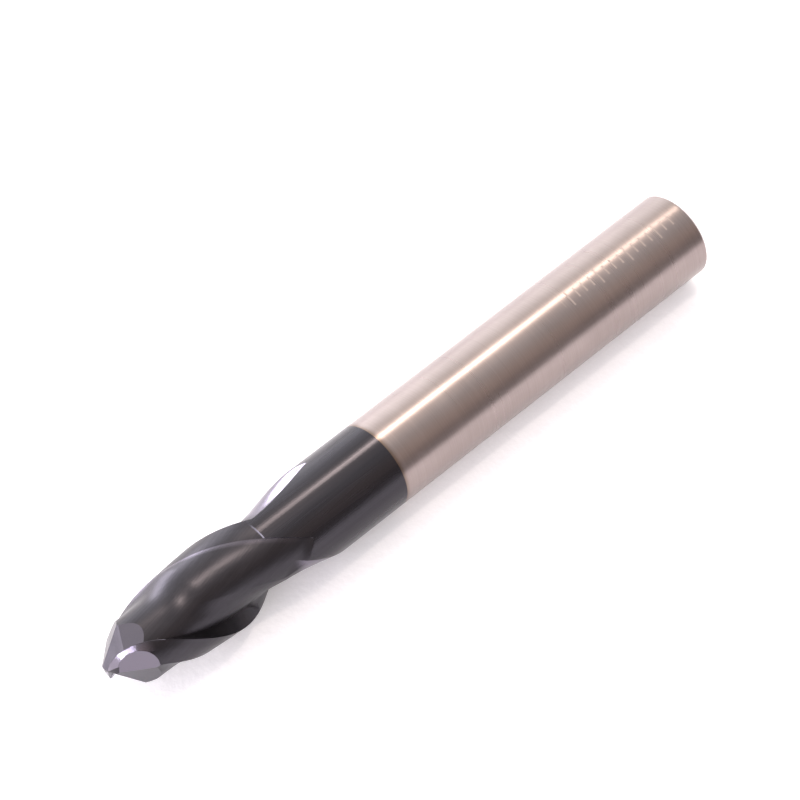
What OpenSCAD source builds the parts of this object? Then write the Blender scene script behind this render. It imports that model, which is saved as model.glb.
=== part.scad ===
// Two-flute ball-nose end mill, ground from one bar of cemented carbide and coated at the cutting end.
// The tool axis is X. The flat rear face is at x = 0 and the tip of the ball is at x = -tool_len.
// The tool lies on its side: Z is up, and it rests on the plane z = -tool_d / 2.

/* [Tool] */
// Diameter of the shank and of the cutting end
tool_d = 12; // [8:0.5:16]
// Overall length from the rear face to the tip
tool_len = 100; // [80:1:140]
// Length of the coated end, measured from the tip
coated_len = 44.6; // [42:0.1:60]
// Chamfer around the rear face
rear_chamfer = 0.35; // [0.1:0.05:1]
// Turn of the whole tool about its axis, 0 puts the two lips upright at the tip
roll = 0; // [0:1:359]

/* [Teeth] */
// Helix angle of the cutting edges
helix_angle = 35; // [25:1:40]
// Distance from the tip at which the teeth stop being relieved
land_len = 24.2; // [18:0.1:28]
// Width of the primary relief behind the cutting edge, along the body
primary_width = 1.5; // [0.9:0.02:1.6]
// Width of the primary relief behind a lip, on the ball
lip_width = 1.75; // [1.2:0.05:2]
// Width of the whole land as an angle about the axis
land_angle = 36; // [28:1:40]
// Drop of the land at the end of the primary relief
primary_drop = 0.12; // [0.05:0.01:0.2]
// Drop of the land at the heel, near the ball
heel_drop = 0.38; // [0.3:0.01:0.5]
// How much less the heel drops where the relief ends
heel_rise = 0.2; // [0:0.01:0.24]

/* [Flutes] */
// Radius of the solid core at the bottom of a flute, as a share of the tool radius
core_share = 0.667; // [0.55:0.01:0.75]
// Angle from a cutting edge back to the bottom of the flute behind it
floor_angle = 152; // [140:1:160]
// Radius of the core just behind the ball, as a share of the tool radius
tip_core_share = 0.717; // [0.6:0.01:0.8]
// How sharply the rake face rises to the cutting edge
rake_power = 2.2; // [1.5:0.1:3]
// Distance from the tip at which the grinding wheel starts to leave the flute
exit_start = 25; // [22:0.5:28]
// Distance from the tip at which the flute has run out
exit_end = 36.6; // [34:0.2:40]
// How much shallower the tooth back gets towards the shank, as a share of its fall
back_rise = 0.55; // [0:0.05:0.7]

/* [Ball nose] */
// Distance from the tip to the plane of the gash floor
gash_depth = 2.27; // [2.1:0.01:2.5]
// Distance from the tip to the plane of the flat secondary relief behind each lip
second_depth = 1.31; // [1.2:0.01:1.6]
// Distance from the tip to the plane of the flat third relief below it
third_depth = 0.74; // [0.7:0.01:1.2]

/* [Hidden] */

bare_carbide = [0.62, 0.58, 0.54];
coating = [0.24, 0.24, 0.26];
tool_r = tool_d / 2;
core_r = tool_r * core_share;
twist_rate = 360 * tan(helix_angle) / (PI * tool_d);
lip_angle = 90;
tip_core_r = tool_r * tip_core_share;

// Where the rings of the solids stand, and how finely each half section is divided
axial_step = 0.7;
exit_step = 0.42;
land_step = 0.15;
ball_steps = 18;
pole_angle = 2;
back_steps = 20;
rake_steps = 9;
rake_crowding = 1.3;
round_facets = 96;

// Clearing wheel that leaves the back of the tooth
wheel_r = 3;
wheel_exit = 28.6;
wheel_slant = 0.07;

// Stretches, from the tip, over which the heel rises, and the back changes from steep to slow and then rises
heel_rise_start = 14;
lip_end = 2.5;
steep_end = 8;
slow_start = 14;
back_rise_start = 9;
back_rise_end = 24;
steep_power = 9;
slow_easing = 0.2;

// Run-out of the flute: how its heel side, bottom and rake side turn as the wheel leaves
heel_side_turn = 102;
heel_side_power = 0.85;
bottom_turn = 5;
rake_side_turn = 25;
rake_side_power = 1.8;
exit_power = 1.1;
exit_softening = 4;
clear_of_tool = 99;

// Planes ground on the ball: tilt from the tip direction, turn about the axis, distance from the tip
gash_rake = [121.7, 3.6, 0.03];
gash_floor = [70.4, 91.9, gash_depth];
gash_front = [40.4, 60.7, -0.04];
second_facet = [46.1, 154.3, second_depth];
third_facet = [54, 205.1, third_depth];

function clamp01(t) = max(0, min(1, t));
function ease(t) = let (u = clamp01(t)) u * u * (3 - 2 * u);
function wrap180(a) = a - 180 * floor(a / 180);

// Height by which a round wheel of radius r has lifted after travelling s past its lowest point
function wheel_lift(s, r) = s <= 0 ? 0 : s >= r ? clear_of_tool : r - sqrt(r * r - s * s);

// Radius of the ball and the cylinder that the cutting edges lie on
function envelope(x) = x < tool_r ? sqrt(tool_r * tool_r - pow(tool_r - x, 2)) : tool_r;

// Angle taken up by the primary relief, a little wider on the ball than along the body
function primary_end(x) =
    let (width = lip_width + (primary_width - lip_width) * ease((x - lip_end) / lip_end))
    min(land_angle - 1, 180 * width / (PI * envelope(x)));

// Angles behind a cutting edge at which the outline of half a section is worked out
function half_angles(x) = concat(
    [0, primary_end(x) / 2, primary_end(x), (primary_end(x) + land_angle) / 2],
    [for (i = [0 : back_steps - 1]) land_angle + (floor_angle - land_angle) * i / back_steps],
    [
        for (i = [0 : rake_steps - 1])
            floor_angle + (180 - floor_angle) * (1 - pow(1 - i / rake_steps, rake_crowding))
    ]
);

// Land behind the edge: primary relief, then secondary relief down to the heel
function land(d, x) =
    x > land_len ? tool_r
    : tool_r
        - lookup(d, [
            [0, 0],
            [primary_end(x), primary_drop],
            [land_angle, heel_fall(x)],
            [180, heel_fall(x)]
        ]);

// Drop of the land at the heel, which shrinks towards the end of the relief
function heel_fall(x) = heel_drop - heel_rise * ease((x - heel_rise_start) / (land_len - heel_rise_start));

// 0 just behind the ball and 1 along the body
function settled(x) = ease((x - steep_end) / (slow_start - steep_end));

// Radius of the solid core, a little thicker just behind the ball
function core(x) = tip_core_r + (core_r - tip_core_r) * settled(x);

// Back of the tooth: it drops at once to the core near the ball and falls slowly further along
function tooth_back(d, x) =
    let (
        t = clamp01((d - land_angle) / (floor_angle - land_angle)),
        steep = 1 - pow(1 - t, steep_power),
        rise = back_rise * (1 - t) * ease((x - back_rise_start) / (back_rise_end - back_rise_start)),
        slow = (slow_easing * ease(t) + (1 - slow_easing) * t) * (1 - rise),
        share = steep + (slow - steep) * settled(x),
        s = x + wheel_slant * (d - land_angle) - wheel_exit
    )
    d < land_angle
        ? clear_of_tool
        : tool_r - heel_fall(x) - (tool_r - heel_fall(x) - core(x)) * share + wheel_lift(s, wheel_r);

// Groove below the rake face: it turns with the helix up to exit_start, then runs out straight.
// The three angles are those of its heel side, its bottom and its rake side about the axis.
function groove(a, x) =
    let (
        t = clamp01((x - exit_start) / (exit_end - exit_start)),
        still = twist_rate * exit_start + lip_angle - 180,
        bottom = still + floor_angle + bottom_turn * t,
        spread = heel_side_turn * pow(1 - t, heel_side_power),
        heel_side = min(bottom - 1, still + floor_angle + bottom_turn - spread),
        rake_side = max(bottom + 1, still + 180 - rake_side_turn * pow(t, rake_side_power)),
        turned = a - twist_rate * min(0, x - exit_start),
        b = wrap180(turned - rake_side + 180) + rake_side - 180,
        wheel = pow(exit_end - exit_start, 2) / (2 * (tool_r - core_r)),
        low = core(x) + wheel_lift(x - exit_start, wheel),
        power = rake_power - (rake_power - exit_power) * ease((x - exit_start) / exit_softening),
        rise = b > bottom
            ? pow((b - bottom) / (rake_side - bottom), power)
            : ease((bottom - b) / (bottom - heel_side))
    )
    x > exit_end || b < heel_side ? clear_of_tool : low + (tool_r - low) * rise;

// Radius of the ground section at an angle d behind the nearest edge and a distance x from the tip
function section_r(d, x, a) =
    min(envelope(x) * land(d, x) / tool_r, tooth_back(d, x), groove(a, x));

function ring(x) = [
    for (tooth = [0, 180])
        for (d = half_angles(x))
            let (
                a = lip_angle + tooth + twist_rate * x + d,
                r = section_r(d, x, a)
            )
            [x - tool_len, r * cos(a), r * sin(a)]
];

// Closed solid through a list of rings, from the tip towards the rear
module sweep(stations) {
    rings = [for (x = stations) ring(x)];
    n = len(rings[0]);
    last = len(rings) - 1;
    points = [for (one = rings) for (p = one) p];
    sides = [
        for (j = [0 : last - 1])
            for (i = [0 : n - 1])
                let (k = (i + 1) % n)
                each [
                    [j * n + i, (j + 1) * n + i, (j + 1) * n + k],
                    [j * n + i, (j + 1) * n + k, j * n + k]
                ]
    ];
    front = [for (i = [0 : n - 1]) i];
    back = [for (i = [n - 1 : -1 : 0]) last * n + i];
    polyhedron(points, concat(sides, [front, back]), convexity = 10);
}

// Everything on the far side of a plane [tilt, turn, distance] measured from the tip
module beyond(plane) {
    reach = 4 * tool_d;
    translate([-tool_len, 0, 0])
        rotate([plane[1], 0, 0])
            rotate([0, 0, -plane[0]])
                translate([-reach - plane[2], -reach / 2, -reach / 2])
                    cube([reach, reach, reach]);
}

// Notch ground in front of one lip of the ball, and the two flats ground behind it
module tooth_cuts() {
    intersection() {
        beyond(gash_rake);
        union() {
            beyond(gash_floor);
            beyond(gash_front);
        }
    }
    beyond(second_facet);
    beyond(third_facet);
}

module along_x(from, to) {
    translate([from, 0, 0])
        rotate([0, 90, 0])
            cylinder(r = tool_r, h = to - from, $fn = round_facets);
}

module shank() {
    color(bare_carbide)
        rotate([0, 90, 0])
            rotate_extrude($fn = round_facets)
                polygon([
                    [0, coated_len - tool_len],
                    [tool_r, coated_len - tool_len],
                    [tool_r, -rear_chamfer],
                    [tool_r - rear_chamfer, 0],
                    [0, 0]
                ]);
}

module neck() {
    color(coating)
        along_x(exit_end - tool_len, coated_len - tool_len);
}

module fluted_body() {
    color(coating)
        rotate([roll, 0, 0])
            sweep(concat(
                [for (x = [tool_r : axial_step : land_len - axial_step / 2]) x],
                [land_len, land_len + land_step],
                [for (i = [0 : 1]) exit_start + i * exit_step],
                [for (x = [exit_start + 2 * exit_step : exit_step : exit_end - exit_step / 2]) x],
                [exit_end]
            ));
}

module ball_nose() {
    color(coating)
        rotate([roll, 0, 0])
            difference() {
                sweep([
                    for (i = [0 : ball_steps])
                        tool_r * (1 - cos(pole_angle + (90 - pole_angle) * i / ball_steps))
                ]);
                tooth_cuts();
                rotate([180, 0, 0]) tooth_cuts();
            }
}

shank();
neck();
fluted_body();
ball_nose();
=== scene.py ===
import bmesh
import bpy
import numpy as np
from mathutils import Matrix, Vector


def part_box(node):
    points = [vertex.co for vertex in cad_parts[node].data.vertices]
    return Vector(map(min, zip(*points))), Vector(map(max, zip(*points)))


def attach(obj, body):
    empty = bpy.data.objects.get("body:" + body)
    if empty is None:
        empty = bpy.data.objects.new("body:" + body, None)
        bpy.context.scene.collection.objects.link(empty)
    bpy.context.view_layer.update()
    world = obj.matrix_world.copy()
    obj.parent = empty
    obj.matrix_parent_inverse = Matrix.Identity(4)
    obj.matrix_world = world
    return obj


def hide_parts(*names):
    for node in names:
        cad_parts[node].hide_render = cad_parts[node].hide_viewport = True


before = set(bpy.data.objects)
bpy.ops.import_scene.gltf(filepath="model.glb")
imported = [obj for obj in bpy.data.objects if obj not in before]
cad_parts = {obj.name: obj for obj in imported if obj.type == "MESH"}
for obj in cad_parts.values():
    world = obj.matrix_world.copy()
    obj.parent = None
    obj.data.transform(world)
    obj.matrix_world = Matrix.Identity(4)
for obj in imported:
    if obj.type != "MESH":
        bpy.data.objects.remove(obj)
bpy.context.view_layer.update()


# Fluted body: two helical teeth ground from the solid with a shaped wheel, each with a narrow primary
# relief behind the cutting edge, a secondary relief down to the heel and a convex back that falls to the
# core. The wheel lifts out towards the neck. The ground surface is covered with a dark nitride coating.
low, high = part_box("fluted_body")
tool_r = high[2]
tip_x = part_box("ball_nose")[0][0]
MM = 0.001
RADIUS = 6.0
HELIX = np.degrees(np.tan(np.radians(35)) / (tool_r / MM))
EDGE_AT_TIP = 90.0
CORE_R = 4.0
CORE_R_AT_TIP = 4.3
HEEL_DROP = 0.38
HEEL_RISE = 0.2
HEEL_RISE_START = 14.0
PRIMARY_DROP = 0.12
PRIMARY_WIDTH = 1.5
LIP_WIDTH = 1.75
LIP_END = 2.5
HEEL = 36.0
FLOOR = 152.0
LAND_END = 24.2
EXIT_START = 25.0
EXIT_END = 36.6
STEEP_END = 8.0
SLOW_START = 14.0
STEEP_POWER = 9
SLOW_EASING = 0.2
BACK_RISE = 0.55
BACK_RISE_START = 9.0
BACK_RISE_END = 24.0
WHEEL_R = 3.0
WHEEL_EXIT = 28.6
WHEEL_SLANT = 0.07
HEEL_SIDE_TURN = 102.0
HEEL_SIDE_POWER = 0.85
BOTTOM_TURN = 5.0
RAKE_SIDE_TURN = 25.0
RAKE_SIDE_POWER = 1.8
RAKE_POWER = 2.2
EXIT_POWER = 1.1
EXIT_SOFTENING = 4.0
CLEAR = 99.0


def ease(t):
    """Smooth step from 0 to 1: three t squared less two t cubed, held at both ends."""
    u = np.clip(t, 0, 1)
    return u * u * (3 - 2 * u)


def lift(s, r):
    """Rise of a wheel of radius r after a travel s: r less the root of r squared less s squared."""
    s = np.maximum(s, 0)
    return np.where(s >= r, CLEAR, r - np.sqrt(np.maximum(r * r - s * s, 0)))


def ball(x):
    """Radius of the half ball, or of the cylinder beyond it, at a distance x from the tip."""
    return np.sqrt(np.maximum(RADIUS**2 - np.maximum(RADIUS - x, 0) ** 2, 1e-9))


def primary_end(x):
    """Angle taken up by the primary relief, a little wider on the ball than along the body."""
    width = LIP_WIDTH + (PRIMARY_WIDTH - LIP_WIDTH) * ease((x - LIP_END) / LIP_END)
    return np.clip(np.degrees(width / ball(x)), 0, HEEL - 1)


def heel_drop(x):
    """Drop of the land at the heel, which shrinks towards the end of the relief."""
    return HEEL_DROP - HEEL_RISE * ease((x - HEEL_RISE_START) / (LAND_END - HEEL_RISE_START))


def land(d, x):
    """Radius behind the edge: straight fall over the primary relief, a steeper one over the secondary."""
    end = primary_end(x)
    fall = PRIMARY_DROP * np.clip(d / end, 0, 1)
    fall = fall + (heel_drop(x) - PRIMARY_DROP) * np.clip((d - end) / (HEEL - end), 0, 1)
    return RADIUS - np.where(x > LAND_END, 0, fall)


def settled(x):
    """0 just behind the ball and 1 along the body."""
    return ease((x - STEEP_END) / (SLOW_START - STEEP_END))


def core(x):
    """Radius of the solid core, a little thicker behind the ball."""
    return CORE_R_AT_TIP + (CORE_R - CORE_R_AT_TIP) * settled(x)


def tooth_back(d, x):
    """Back of the tooth: it drops at once to the core near the ball and falls slowly further along."""
    t = np.clip((d - HEEL) / (FLOOR - HEEL), 0, 1)
    steep = 1 - (1 - t) ** STEEP_POWER
    rise = BACK_RISE * (1 - t) * ease((x - BACK_RISE_START) / (BACK_RISE_END - BACK_RISE_START))
    slow = (SLOW_EASING * ease(t) + (1 - SLOW_EASING) * t) * (1 - rise)
    share = steep + (slow - steep) * settled(x)
    back = RADIUS - heel_drop(x) - (RADIUS - heel_drop(x) - core(x)) * share
    return np.where(d < HEEL, CLEAR, back + lift(x + WHEEL_SLANT * (d - HEEL) - WHEEL_EXIT, WHEEL_R))


def groove(a, x):
    """Flute below the rake: a power curve up to the edge, an eased heel side, and a wheel arc at its end."""
    t = np.clip((x - EXIT_START) / (EXIT_END - EXIT_START), 0, 1)
    still = HELIX * EXIT_START + EDGE_AT_TIP - 180
    bottom = still + FLOOR + BOTTOM_TURN * t
    spread = HEEL_SIDE_TURN * (1 - t) ** HEEL_SIDE_POWER
    heel_side = np.minimum(bottom - 1, still + FLOOR + BOTTOM_TURN - spread)
    rake_side = np.maximum(bottom + 1, still + 180 - RAKE_SIDE_TURN * t**RAKE_SIDE_POWER)
    turned = a - HELIX * np.minimum(0, x - EXIT_START)
    b = np.mod(turned - rake_side + 180 - 1e-6, 180) + rake_side - 180 + 1e-6
    low_r = core(x) + lift(x - EXIT_START, (EXIT_END - EXIT_START) ** 2 / (2 * (RADIUS - CORE_R)))
    power = RAKE_POWER - (RAKE_POWER - EXIT_POWER) * ease((x - EXIT_START) / EXIT_SOFTENING)
    to_edge = np.clip((b - bottom) / (rake_side - bottom), 0, 1) ** power
    to_heel = ease((bottom - b) / (bottom - heel_side))
    r = low_r + (RADIUS - low_r) * np.where(b > bottom, to_edge, to_heel)
    return np.where((x > EXIT_END) | (b < heel_side), CLEAR, r)


def tooth_angles(x, backs):
    """Angles behind an edge, lined up with the edge, the primary line and the heel at each distance x."""
    end = primary_end(x)
    primary = end * np.linspace(0, 1, 12, endpoint=False)
    secondary = end + (HEEL - end) * np.linspace(0, 1, 20, endpoint=False)
    back = np.linspace(HEEL, 180, backs, endpoint=False) + 0 * x
    return np.concatenate([primary, secondary, back], 1)


def section(x, backs):
    """Points of both teeth at distances x from the tip: the least of ball, land, back and flute radius."""
    x = x[:, None]
    behind = tooth_angles(x, backs)
    behind = np.concatenate([behind, behind], 1)
    tooth = np.repeat([0.0, 180.0], behind.shape[1] // 2)
    a = EDGE_AT_TIP + HELIX * x + behind + tooth
    ground = np.minimum(tooth_back(behind, x), groove(a, x))
    r = np.minimum(ball(x) * land(behind, x) / RADIUS, ground)
    turn = np.radians(a)
    return np.stack([tip_x / MM + x + 0 * r, r * np.cos(turn), r * np.sin(turn)], -1) * MM


def skin(name, rings):
    """Closed mesh through rings of points: outward quads between neighbours and a flat cap on each end."""
    count, around = rings.shape[:2]
    j, i = np.meshgrid(np.arange(count - 1), np.arange(around), indexing="ij")
    k = (i + 1) % around
    quads = np.stack([j * around + i, j * around + k, (j + 1) * around + k, (j + 1) * around + i], -1)
    caps = [list(range(around))[::-1], [(count - 1) * around + i for i in range(around)]]
    mesh = bpy.data.meshes.new(name)
    mesh.from_pydata(rings.reshape(-1, 3).tolist(), [], quads.reshape(-1, 4).tolist() + caps)
    mesh.validate()
    mesh.update()
    piece = bpy.data.objects.new(name, mesh)
    bpy.context.scene.collection.objects.link(piece)
    return piece


def crease(piece, degrees):
    """Smooth shading, with edges kept hard where two faces meet at more than this many degrees."""
    piece.data.shade_smooth()
    piece.data.set_sharp_from_angle(angle=np.radians(degrees))


def paint_sheen(piece, x, backs):
    """Painted sheen: a share from 0 to 1 on each point that lightens and smooths the coating, standing in for
    reflections on the ball's lips, a band below the heel and the run-outs.
    """
    x = x[:, None]
    behind = tooth_angles(x, backs)
    tooth_radius = np.linalg.norm(section(x[:, 0], backs)[:, : behind.shape[1], 1:], axis=-1) / MM
    lip = np.where(behind < primary_end(x) + 0.1, 1 - ease((x - 2.6) / 2.2), 0)
    band = 0.55 * (1 - ease((behind - HEEL) / 9)) * (behind >= HEEL - 0.1) * (1 - ease((x - 20) / 10))
    run_out = 0.9 * ease((x - EXIT_START - 1) / 2) * (tooth_radius < 5.97) * (behind > 70)
    painted_sheen = np.maximum(np.maximum(lip, band * ease((x - 6) / 4)), run_out)
    values = piece.data.attributes.new("painted_sheen", "FLOAT", "POINT")
    values.data.foreach_set("value", np.concatenate([painted_sheen, painted_sheen], 1).astype(np.float32).ravel())


stations = np.concatenate(
    [
        np.linspace((low[0] - tip_x) / MM, LAND_END, 100),
        np.linspace(LAND_END + 0.12, EXIT_END, 90),
    ]
)
fluted_body = skin("fluted_body_ground", section(stations, 130))
paint_sheen(fluted_body, stations, 130)
crease(fluted_body, 14)


def node(tree, kind, inputs=(), **settings):
    """Adds a shader node, sets its plain settings and its inputs: a socket is linked, a value is stored."""
    made = tree.nodes.new(kind)
    for key, value in settings.items():
        setattr(made, key, value)
    for key, value in dict(inputs).items():
        if isinstance(value, bpy.types.NodeSocket):
            tree.links.new(value, made.inputs[key])
        else:
            made.inputs[key].default_value = value
    return made


def ramp(tree, factor, stops):
    """Colour ramp through (place, colour) stops."""
    made = node(tree, "ShaderNodeValToRGB", {"Fac": factor})
    bar = made.color_ramp
    while len(bar.elements) < len(stops):
        bar.elements.new(0.5)
    for element, (place, colour) in zip(bar.elements, stops):
        element.position = place
        element.color = (*colour, 1)
    return made.outputs["Color"]


def stretched_noise(tree, place, stretch, detail=3.0):
    """Noise drawn out along one way: object coordinates scaled by three factors per metre."""
    scaled = node(tree, "ShaderNodeVectorMath", {0: place, 1: stretch}, operation="MULTIPLY")
    made = node(tree, "ShaderNodeTexNoise", {"Vector": scaled.outputs[0], "Scale": 1.0, "Detail": detail})
    return made.outputs["Fac"]


def gleam_way(tree, place, slope):
    """Direction across marks that run at an angle to the axis: minus its sine along X, its cosine round X."""
    parts = node(tree, "ShaderNodeSeparateXYZ", {0: place})
    left = node(tree, "ShaderNodeMath", {0: parts.outputs["Z"], 1: -1.0}, operation="MULTIPLY").outputs[0]
    ring = node(tree, "ShaderNodeCombineXYZ", {"X": 0.0, "Y": left, "Z": parts.outputs["Y"]}).outputs[0]
    unit = node(tree, "ShaderNodeVectorMath", {0: ring}, operation="NORMALIZE").outputs[0]
    round_share = {0: unit, "Scale": float(np.cos(slope))}
    turned_way = node(tree, "ShaderNodeVectorMath", round_share, operation="SCALE")
    axis = (-float(np.sin(slope)), 0.0, 0.0)
    return node(tree, "ShaderNodeVectorMath", {0: turned_way.outputs[0], 1: axis}, operation="ADD").outputs[0]


def nitride(name, turn, tint, rough, bump, painted_sheen=0.0, slope=None):
    """Dark nitride over ground carbide: its marks follow the wheel, turned by turn radians per metre."""
    mat = bpy.data.materials.new(name)
    mat.use_nodes = True
    tree = mat.node_tree
    shader = tree.nodes["Principled BSDF"]
    place = node(tree, "ShaderNodeTexCoord").outputs["Object"]
    along = node(tree, "ShaderNodeSeparateXYZ", {0: place}).outputs["X"]
    back = node(tree, "ShaderNodeMath", {0: along, 1: -turn}, operation="MULTIPLY").outputs[0]
    straight = node(
        tree,
        "ShaderNodeVectorRotate",
        {"Vector": place, "Axis": (1, 0, 0), "Angle": back},
        rotation_type="AXIS_ANGLE",
    ).outputs[0]
    marks = stretched_noise(tree, straight, (90.0, 5200.0, 5200.0))
    bands = stretched_noise(tree, straight, (40.0, 700.0, 700.0), 2.0)
    specks = stretched_noise(tree, place, (2600.0, 2600.0, 2600.0), 1.0)
    shade = node(tree, "ShaderNodeMath", {0: marks, 1: 0.35, 2: 0.0}, operation="MULTIPLY_ADD").outputs[0]
    shade = node(tree, "ShaderNodeMath", {0: bands, 1: 0.5, 2: shade}, operation="MULTIPLY_ADD").outputs[0]
    colour = ramp(
        tree,
        shade,
        [
            (0.25, tuple(0.78 * c for c in tint)),
            (0.5, tint),
            (0.75, tuple(1.25 * c for c in tint)),
        ],
    )
    fleck = ramp(tree, specks, [(0.0, (0, 0, 0)), (0.80, (0, 0, 0)), (0.84, (1, 1, 1))])
    mixed = node(
        tree,
        "ShaderNodeMix",
        {"Factor": fleck, "A": colour, "B": (*[2.2 * c for c in tint], 1)},
        data_type="RGBA",
    )
    # Painted sheen: the stored share, or the fixed share given to this material, mixes the coating towards a
    # pale lavender and lowers its roughness, in place of bright reflections.
    sheen_share = node(tree, "ShaderNodeAttribute", attribute_name="painted_sheen").outputs["Fac"]
    sheen_share = node(tree, "ShaderNodeMath", {0: sheen_share, 1: painted_sheen}, operation="MAXIMUM").outputs[0]
    bright = node(
        tree,
        "ShaderNodeMix",
        {"Factor": sheen_share, "A": mixed.outputs["Result"], "B": (0.20, 0.183, 0.225, 1)},
        data_type="RGBA",
    )
    tree.links.new(bright.outputs["Result"], shader.inputs["Base Color"])
    spread = node(
        tree,
        "ShaderNodeMapRange",
        {"Value": bands, "To Min": rough - 0.05, "To Max": rough + 0.07},
    ).outputs[0]
    smooth = node(tree, "ShaderNodeMath", {0: sheen_share, 1: -0.45, 2: 1.0}, operation="MULTIPLY_ADD").outputs[0]
    spread = node(tree, "ShaderNodeMath", {0: spread, 1: smooth}, operation="MULTIPLY").outputs[0]
    tree.links.new(spread, shader.inputs["Roughness"])
    relief = node(
        tree,
        "ShaderNodeBump",
        {"Height": marks, "Strength": bump, "Distance": 0.00002},
    ).outputs[0]
    tree.links.new(relief, shader.inputs["Normal"])
    shader.inputs["Metallic"].default_value = 1.0
    if slope is not None:
        shader.inputs["Anisotropic"].default_value = 0.6
        tree.links.new(gleam_way(tree, place, slope), shader.inputs["Tangent"])
    return mat


COATING = (0.057, 0.054, 0.062)
WHEEL_SLOPE = np.radians(-12)
wheel_turn = np.tan(WHEEL_SLOPE) / (5 * MM)
flute_nitride = nitride("nitride_on_flutes", wheel_turn, COATING, 0.3, 0.8, 0.0, WHEEL_SLOPE)
fluted_body.data.materials.append(flute_nitride)
round_nitride = nitride("nitride_on_round_stretch", 0.0, COATING, 0.25, 0.3)
fluted_body.data.materials.append(round_nitride)
middles = np.empty(3 * len(fluted_body.data.polygons), np.float32)
fluted_body.data.polygons.foreach_get("center", middles)
middles = middles.reshape(-1, 3) / MM
not_ground = np.hypot(middles[:, 1], middles[:, 2]) > 5.985
not_ground &= middles[:, 0] > tip_x / MM + LAND_END
fluted_body.data.polygons.foreach_set("material_index", not_ground.astype(np.int32))
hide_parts("fluted_body")
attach(fluted_body, "root")


# Ball nose: the teeth carried round a half ball of the tool's radius to the tip. In front of each lip a
# second, thinner wheel has ground a gash with a rake, a floor and a front face, and behind each lip two
# flats. A thin web is left at the pole. The coating is the same as on the flutes.
pole = 2.0
steps = RADIUS * (1 - np.cos(np.radians(np.linspace(pole, 90, 60))))
ball_nose = skin("ball_nose_ground", section(steps, 110))
paint_sheen(ball_nose, steps, 110)


def solid(name, points, faces):
    """Closed cutter from corners in millimetres, with its faces turned outwards."""
    mesh = bpy.data.meshes.new(name)
    mesh.from_pydata((np.array(points) * MM).tolist(), [], faces)
    shape = bmesh.new()
    shape.from_mesh(mesh)
    bmesh.ops.recalc_face_normals(shape, faces=shape.faces)
    shape.to_mesh(mesh)
    shape.free()
    cutter = bpy.data.objects.new(name, mesh)
    bpy.context.scene.collection.objects.link(cutter)
    return cutter


def wedge(name, first, second):
    """Closed prism of everything beyond two planes (normal, distance): its edge is where they meet."""
    n1, n2 = [np.array(p[0]) / np.linalg.norm(p[0]) for p in (first, second)]
    edge = np.cross(n1, n2)
    spine = edge / np.linalg.norm(edge)
    start = np.linalg.solve(np.stack([n1, n2, spine]), [first[1], second[1], 0.0])
    along_first = np.cross(spine, n1)
    along_second = np.cross(spine, n2)
    along_first *= np.sign(along_first @ n2)
    along_second *= np.sign(along_second @ n1)
    reach = 60.0
    corners = np.array([start, start + reach * along_first, start + reach * along_second])
    points = np.concatenate([corners - reach * spine, corners + reach * spine])
    points[:, 0] += tip_x / MM
    faces = [(0, 1, 2), (5, 4, 3), (0, 3, 4, 1), (1, 4, 5, 2), (2, 5, 3, 0)]
    return solid(name, points, faces)


def slab(name, normal, distance):
    """Box of everything beyond one plane, given by its normal and its distance from the tip."""
    n = np.array(normal) / np.linalg.norm(normal)
    u = np.cross(n, (0, 0, 1.0))
    u /= np.linalg.norm(u)
    v = np.cross(n, u)
    reach = 40.0
    corners = [distance * n + reach * (p * u + q * v) for p, q in ((-1, -1), (1, -1), (1, 1), (-1, 1))]
    points = np.concatenate([corners, np.array(corners) + reach * n])
    points[:, 0] += tip_x / MM
    faces = [(0, 1, 2, 3), (7, 6, 5, 4), (0, 4, 5, 1), (1, 5, 6, 2), (2, 6, 7, 3), (3, 7, 4, 0)]
    return solid(name, points, faces)


def cut(piece, cutter, finish):
    """Takes the cutter out of the piece with an exact Boolean: the new faces take the given finish."""
    cutter.data.materials.append(finish)
    step = piece.modifiers.new("cut", "BOOLEAN")
    step.operation = "DIFFERENCE"
    step.solver = "EXACT"
    step.material_mode = "TRANSFER"
    step.object = cutter
    bpy.context.view_layer.update()
    seen = bpy.context.evaluated_depsgraph_get()
    result = bpy.data.meshes.new_from_object(piece.evaluated_get(seen))
    piece.modifiers.clear()
    piece.data = result
    bpy.data.objects.remove(cutter)


GASH_RAKE = ((0.525, 0.85, 0.053), 0.03)
GASH_FLOOR = ((-0.336, -0.032, 0.941), 2.27)
GASH_FRONT = ((-0.762, 0.317, 0.565), -0.038)
SECOND_FACET = ((-0.67, -0.69, 0.28), 1.19)
THIRD_FACET = ((-0.588, -0.748, -0.31), 0.707)
coat = nitride("nitride_on_ball", wheel_turn, COATING, 0.3, 0.8, 0.0, WHEEL_SLOPE)
# Painted sheen: the gash floors and the second flats get a large fixed share of the pale lavender, the gash
# fronts and the third flats a small one, standing in for their bright reflections.
facet = nitride("nitride_on_facets", 0.0, COATING, 0.33, 0.6, 0.75)
front = nitride("nitride_on_fronts", 0.0, COATING, 0.33, 0.6, 0.15)
ball_nose.data.materials.append(coat)
ball_nose.data.materials.append(facet)
ball_nose.data.materials.append(front)
for side in (1, -1):
    for face, finish in ((GASH_FLOOR, facet), (GASH_FRONT, front)):
        planes = [((n[0], side * n[1], side * n[2]), c) for n, c in (GASH_RAKE, face)]
        cut(ball_nose, wedge("gash", *planes), finish)
    for (normal, distance), finish in ((SECOND_FACET, facet), (THIRD_FACET, front)):
        cut(ball_nose, slab("flat", (normal[0], side * normal[1], side * normal[2]), distance), finish)
crease(ball_nose, 14)
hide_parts("ball_nose")
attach(ball_nose, "root")


# Neck: the plain ground bar between the flutes' run-out and the bare shank, coated as the flutes are. Its
# fine marks run along the bar.
low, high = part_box("neck")


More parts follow.
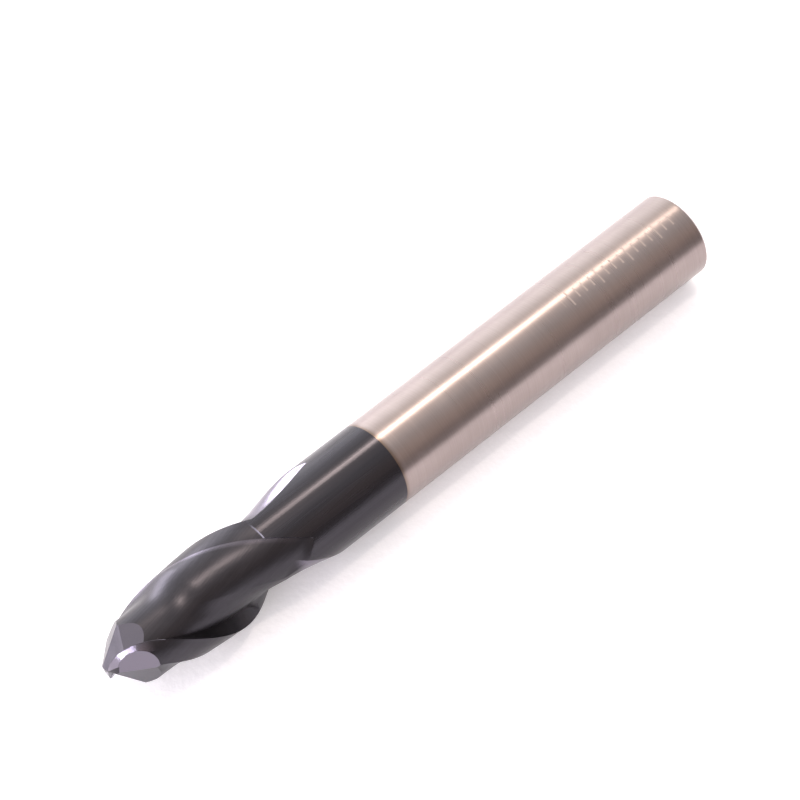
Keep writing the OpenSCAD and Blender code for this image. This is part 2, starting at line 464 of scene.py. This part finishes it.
def turned(name, outline, around):
    """Closed mesh from an outline of (x, radius) points turned about the X axis."""
    x, r = np.array(outline).T
    turn = np.linspace(0, 2 * np.pi, around, endpoint=False)
    rings = np.stack(
        [x[:, None] + 0 * turn, r[:, None] * np.cos(turn), r[:, None] * np.sin(turn)], -1
    )
    return skin(name, rings)


neck_x = np.linspace(low[0], high[0], 9)
neck = turned("neck_ground", [(x, tool_r) for x in neck_x], 256)
crease(neck, 30)
neck.data.materials.append(round_nitride)
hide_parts("neck")
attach(neck, "root")


# Shank: bare cemented carbide, centreless ground to a fine satin, with a small chamfer round the rear face.
# A row of laser-etched strokes near the rear stands in for the size marking.
low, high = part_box("shank")
CHAMFER = 0.35 * MM
edge_round = 0.06 * MM
bend = np.linspace(0, np.pi / 4, 5)
profile = [(low[0], tool_r)] + [(x, tool_r) for x in np.linspace(low[0], high[0] - 2 * CHAMFER, 24)[1:]]
profile += [
    (high[0] - CHAMFER - edge_round + 2 * edge_round * np.sin(t), tool_r - 2 * edge_round * (1 - np.cos(t)))
    for t in bend
]
profile += [(high[0], tool_r - CHAMFER - edge_round / 2)]
shank = turned("shank_ground", profile, 256)
crease(shank, 30)


MARK_TURN = np.radians(102)
MARK_ACROSS = (0.0, -float(np.sin(MARK_TURN)), float(np.cos(MARK_TURN)))
MARK_PITCH = 1.35 * MM
MARK_WIDTH = 0.2 * MM
MARK_LONG = 1.3 * MM
MARK_SHORT = 0.8 * MM
MARK_FROM = -23.0 * MM
MARK_TO = -1.6 * MM


def bare_carbide(name):
    """Ground cemented carbide: warm grey metal, fine marks round the bar and etching."""
    mat = bpy.data.materials.new(name)
    mat.use_nodes = True
    tree = mat.node_tree
    shader = tree.nodes["Principled BSDF"]
    place = node(tree, "ShaderNodeTexCoord").outputs["Object"]
    marks = stretched_noise(tree, place, (9000.0, 60.0, 60.0))
    bands = stretched_noise(tree, place, (900.0, 20.0, 20.0), 2.0)
    cloud = stretched_noise(tree, place, (160.0, 240.0, 240.0), 3.0)
    shade = node(tree, "ShaderNodeMath", {0: marks, 1: 0.45, 2: 0.0}, operation="MULTIPLY_ADD").outputs[0]
    shade = node(tree, "ShaderNodeMath", {0: cloud, 1: 0.5, 2: shade}, operation="MULTIPLY_ADD").outputs[0]
    greys = [(0.3, (0.30, 0.25, 0.24)), (0.5, (0.335, 0.28, 0.268)), (0.7, (0.37, 0.31, 0.298))]
    colour = ramp(tree, shade, greys)
    parts = node(tree, "ShaderNodeSeparateXYZ", {0: place})
    ragged = {0: cloud, 1: 0.0006, 2: parts.outputs["X"]}
    along = node(tree, "ShaderNodeMath", ragged, operation="MULTIPLY_ADD")
    overspray = node(
        tree,
        "ShaderNodeMapRange",
        {
            "Value": along.outputs[0],
            "From Min": low[0],
            "From Max": low[0] + 0.0011,
            "To Min": 1.0,
            "To Max": 0.0,
        },
        interpolation_type="SMOOTHSTEP",
    ).outputs[0]
    colour = node(
        tree,
        "ShaderNodeMix",
        {"Factor": overspray, "A": colour, "B": (0.13, 0.085, 0.055, 1)},
        data_type="RGBA",
    ).outputs["Result"]
    across = node(
        tree, "ShaderNodeVectorMath", {0: place, 1: MARK_ACROSS}, operation="DOT_PRODUCT"
    ).outputs["Value"]
    across = node(tree, "ShaderNodeMath", {0: across}, operation="ABSOLUTE").outputs[0]
    pitches = {0: parts.outputs["X"], 1: -1 / MARK_PITCH}
    count = node(tree, "ShaderNodeMath", pitches, operation="MULTIPLY").outputs[0]
    place_in = node(tree, "ShaderNodeMath", {0: count}, operation="FRACT").outputs[0]
    every = node(tree, "ShaderNodeMath", {0: count, 1: 0.25}, operation="MULTIPLY").outputs[0]
    every = node(tree, "ShaderNodeMath", {0: every}, operation="FRACT").outputs[0]
    is_long = node(tree, "ShaderNodeMath", {0: every, 1: 0.25}, operation="LESS_THAN").outputs[0]
    lengths = {0: is_long, 1: MARK_LONG - MARK_SHORT, 2: MARK_SHORT}
    half = node(tree, "ShaderNodeMath", lengths, operation="MULTIPLY_ADD").outputs[0]
    tests = (
        node(tree, "ShaderNodeMath", {0: place_in, 1: MARK_WIDTH / MARK_PITCH}, operation="LESS_THAN"),
        node(tree, "ShaderNodeMath", {0: across, 1: half}, operation="LESS_THAN"),
        node(tree, "ShaderNodeMath", {0: parts.outputs["Z"], 1: 0.0}, operation="GREATER_THAN"),
        node(tree, "ShaderNodeMath", {0: parts.outputs["X"], 1: MARK_TO}, operation="LESS_THAN"),
        node(tree, "ShaderNodeMath", {0: parts.outputs["X"], 1: MARK_FROM}, operation="GREATER_THAN"),
    )
    etched = tests[0].outputs[0]
    for test in tests[1:]:
        both = {0: etched, 1: test.outputs[0]}
        etched = node(tree, "ShaderNodeMath", both, operation="MULTIPLY").outputs[0]
    colour = node(
        tree,
        "ShaderNodeMix",
        {"Factor": etched, "A": colour, "B": (0.47, 0.40, 0.37, 1)},
        data_type="RGBA",
    ).outputs["Result"]
    tree.links.new(colour, shader.inputs["Base Color"])
    spread = node(
        tree, "ShaderNodeMapRange", {"Value": bands, "To Min": 0.24, "To Max": 0.33}
    ).outputs[0]
    matter = {0: etched, 1: 0.35, 2: spread}
    spread = node(tree, "ShaderNodeMath", matter, operation="MULTIPLY_ADD").outputs[0]
    tree.links.new(spread, shader.inputs["Roughness"])
    relief = node(
        tree, "ShaderNodeBump", {"Height": marks, "Strength": 0.35, "Distance": 0.00001}
    ).outputs[0]
    tree.links.new(relief, shader.inputs["Normal"])
    shader.inputs["Metallic"].default_value = 1.0
    return mat


shank.data.materials.append(bare_carbide("bare_ground_carbide"))
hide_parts("shank")
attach(shank, "root")


# Table: a broad sheet of matt white paper that the tool lies on, with a faint tooth in its surface.
reach = 3.0
table_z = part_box("shank")[0][2]
sheet = bpy.data.meshes.new("table")
sheet.from_pydata(
    [(-reach, -reach, table_z), (reach, -reach, table_z), (reach, reach, table_z), (-reach, reach, table_z)],
    [],
    [(0, 1, 2, 3)],
)
table = bpy.data.objects.new("table", sheet)
bpy.context.scene.collection.objects.link(table)
paper = bpy.data.materials.new("white_paper")
paper.use_nodes = True
tree = paper.node_tree
shader = tree.nodes["Principled BSDF"]
place = node(tree, "ShaderNodeTexCoord").outputs["Object"]
grain = stretched_noise(tree, place, (900.0, 900.0, 900.0), 2.0)
whites = ramp(tree, grain, [(0.3, (0.84, 0.83, 0.85)), (0.7, (0.9, 0.89, 0.9))])
tree.links.new(whites, shader.inputs["Base Color"])
tree.links.new(
    node(tree, "ShaderNodeBump", {"Height": grain, "Strength": 0.25, "Distance": 0.0002}).outputs[0],
    shader.inputs["Normal"],
)
shader.inputs["Roughness"].default_value = 0.9
# The paper glows faintly: painted light that brightens it all over and lifts the shadows on it.
shader.inputs["Emission Color"].default_value = (1.0, 0.985, 1.0, 1)
shader.inputs["Emission Strength"].default_value = 0.28
table.data.materials.append(paper)


# Studio: a white sweep behind the tool, a dim room in front of it, a pale window beyond the tip, a bright
# low band of light behind and to the left, and two small warm lamps high up.
world = bpy.data.worlds.new("studio")
bpy.context.scene.world = world
world.use_nodes = True
tree = world.node_tree
sky = node(tree, "ShaderNodeTexCoord").outputs["Generated"]
axes = node(tree, "ShaderNodeSeparateXYZ", {0: sky})
front = node(tree, "ShaderNodeMath", {0: axes.outputs["Y"], 1: -1.0}, operation="MULTIPLY").outputs[0]
height = node(tree, "ShaderNodeMath", {0: axes.outputs["Z"], 1: front}, operation="ARCTAN2").outputs[0]
around = node(tree, "ShaderNodeMath", {0: height, 1: np.pi}, operation="DIVIDE").outputs[0]
glow = ramp(
    tree,
    around,
    [
        (0.0, (0.13, 0.12, 0.12)),
        (0.09, (0.14, 0.125, 0.125)),
        (0.155, (0.20, 0.17, 0.16)),
        (0.22, (0.28, 0.232, 0.21)),
        (0.29, (0.29, 0.256, 0.24)),
        (0.42, (0.31, 0.31, 0.315)),
        (0.52, (0.38, 0.37, 0.37)),
        (0.69, (0.46, 0.45, 0.43)),
        (0.755, (0.60, 0.59, 0.58)),
        (0.82, (0.80, 0.80, 0.80)),
        (0.9, (0.92, 0.92, 0.92)),
        (1.0, (0.88, 0.88, 0.88)),
    ],
)
window_way = Vector((-0.93, -0.05, 0.25)).normalized()
toward = node(tree, "ShaderNodeVectorMath", {0: sky, 1: window_way}, operation="DOT_PRODUCT")
window = node(
    tree,
    "ShaderNodeMapRange",
    {"Value": toward.outputs["Value"], "From Min": 0.86, "From Max": 0.94},
    interpolation_type="SMOOTHSTEP",
).outputs[0]
lit = node(
    tree,
    "ShaderNodeMix",
    {"Factor": window, "A": glow, "B": (2.0, 1.9, 2.15, 1)},
    data_type="RGBA",
)
limits = (
    ("X", 0.2, 0.36, 1.0, 0.0),
    ("Y", -0.3, -0.1, 0.0, 1.0),
    ("Z", -0.06, 0.0, 0.0, 1.0),
    ("Z", 0.24, 0.4, 1.0, 0.0),
)
band = 1.0
for axis, low_at, high_at, low_share, high_share in limits:
    share = node(
        tree,
        "ShaderNodeMapRange",
        {
            "Value": axes.outputs[axis],
            "From Min": low_at,
            "From Max": high_at,
            "To Min": low_share,
            "To Max": high_share,
        },
        interpolation_type="SMOOTHSTEP",
    ).outputs[0]
    band = node(tree, "ShaderNodeMath", {0: band, 1: share}, operation="MULTIPLY").outputs[0]
lit = node(
    tree,
    "ShaderNodeMix",
    {"Factor": band, "A": lit.outputs["Result"], "B": (4.2, 4.05, 4.4, 1)},
    data_type="RGBA",
)
background = tree.nodes["Background"]
tree.links.new(lit.outputs["Result"], background.inputs["Color"])
background.inputs["Strength"].default_value = 2.5

for name, way, energy in (
    ("warm_lamp_behind", (0.4455, 0.296, 0.845), 1.7),
    ("warm_lamp_above", (0.14, -0.06, 0.988), 2.2),
):
    lamp_way = Vector(way).normalized()
    lamp = bpy.data.lights.new(name, "AREA")
    lamp.shape = "DISK"
    lamp.size = 0.08
    lamp.energy = energy
    lamp.color = (1.0, 0.86, 0.74)
    lamp_at = bpy.data.objects.new(name, lamp)
    lamp_at.location = Vector((tip_x / 2, 0, 0)) + 1.2 * lamp_way
    lamp_at.rotation_euler = lamp_way.to_track_quat("Z", "Y").to_euler()
    bpy.context.scene.collection.objects.link(lamp_at)


# Camera: a long lens looking down at the tip end, level, with the rear of the tool away to the upper right.
eye = bpy.data.cameras.new("camera")
eye.sensor_width = 36.0
eye.lens = 174.26
eye.clip_start = 0.01
eye_at = bpy.data.objects.new("camera", eye)
eye_at.location = (-0.26427, -0.21583, 0.37993)
eye_at.rotation_euler = Vector((0.4455, 0.4504, -0.7738)).to_track_quat("-Z", "Y").to_euler()
bpy.context.scene.collection.objects.link(eye_at)
bpy.context.scene.camera = eye_at
bpy.context.scene.view_settings.view_transform = "Standard"
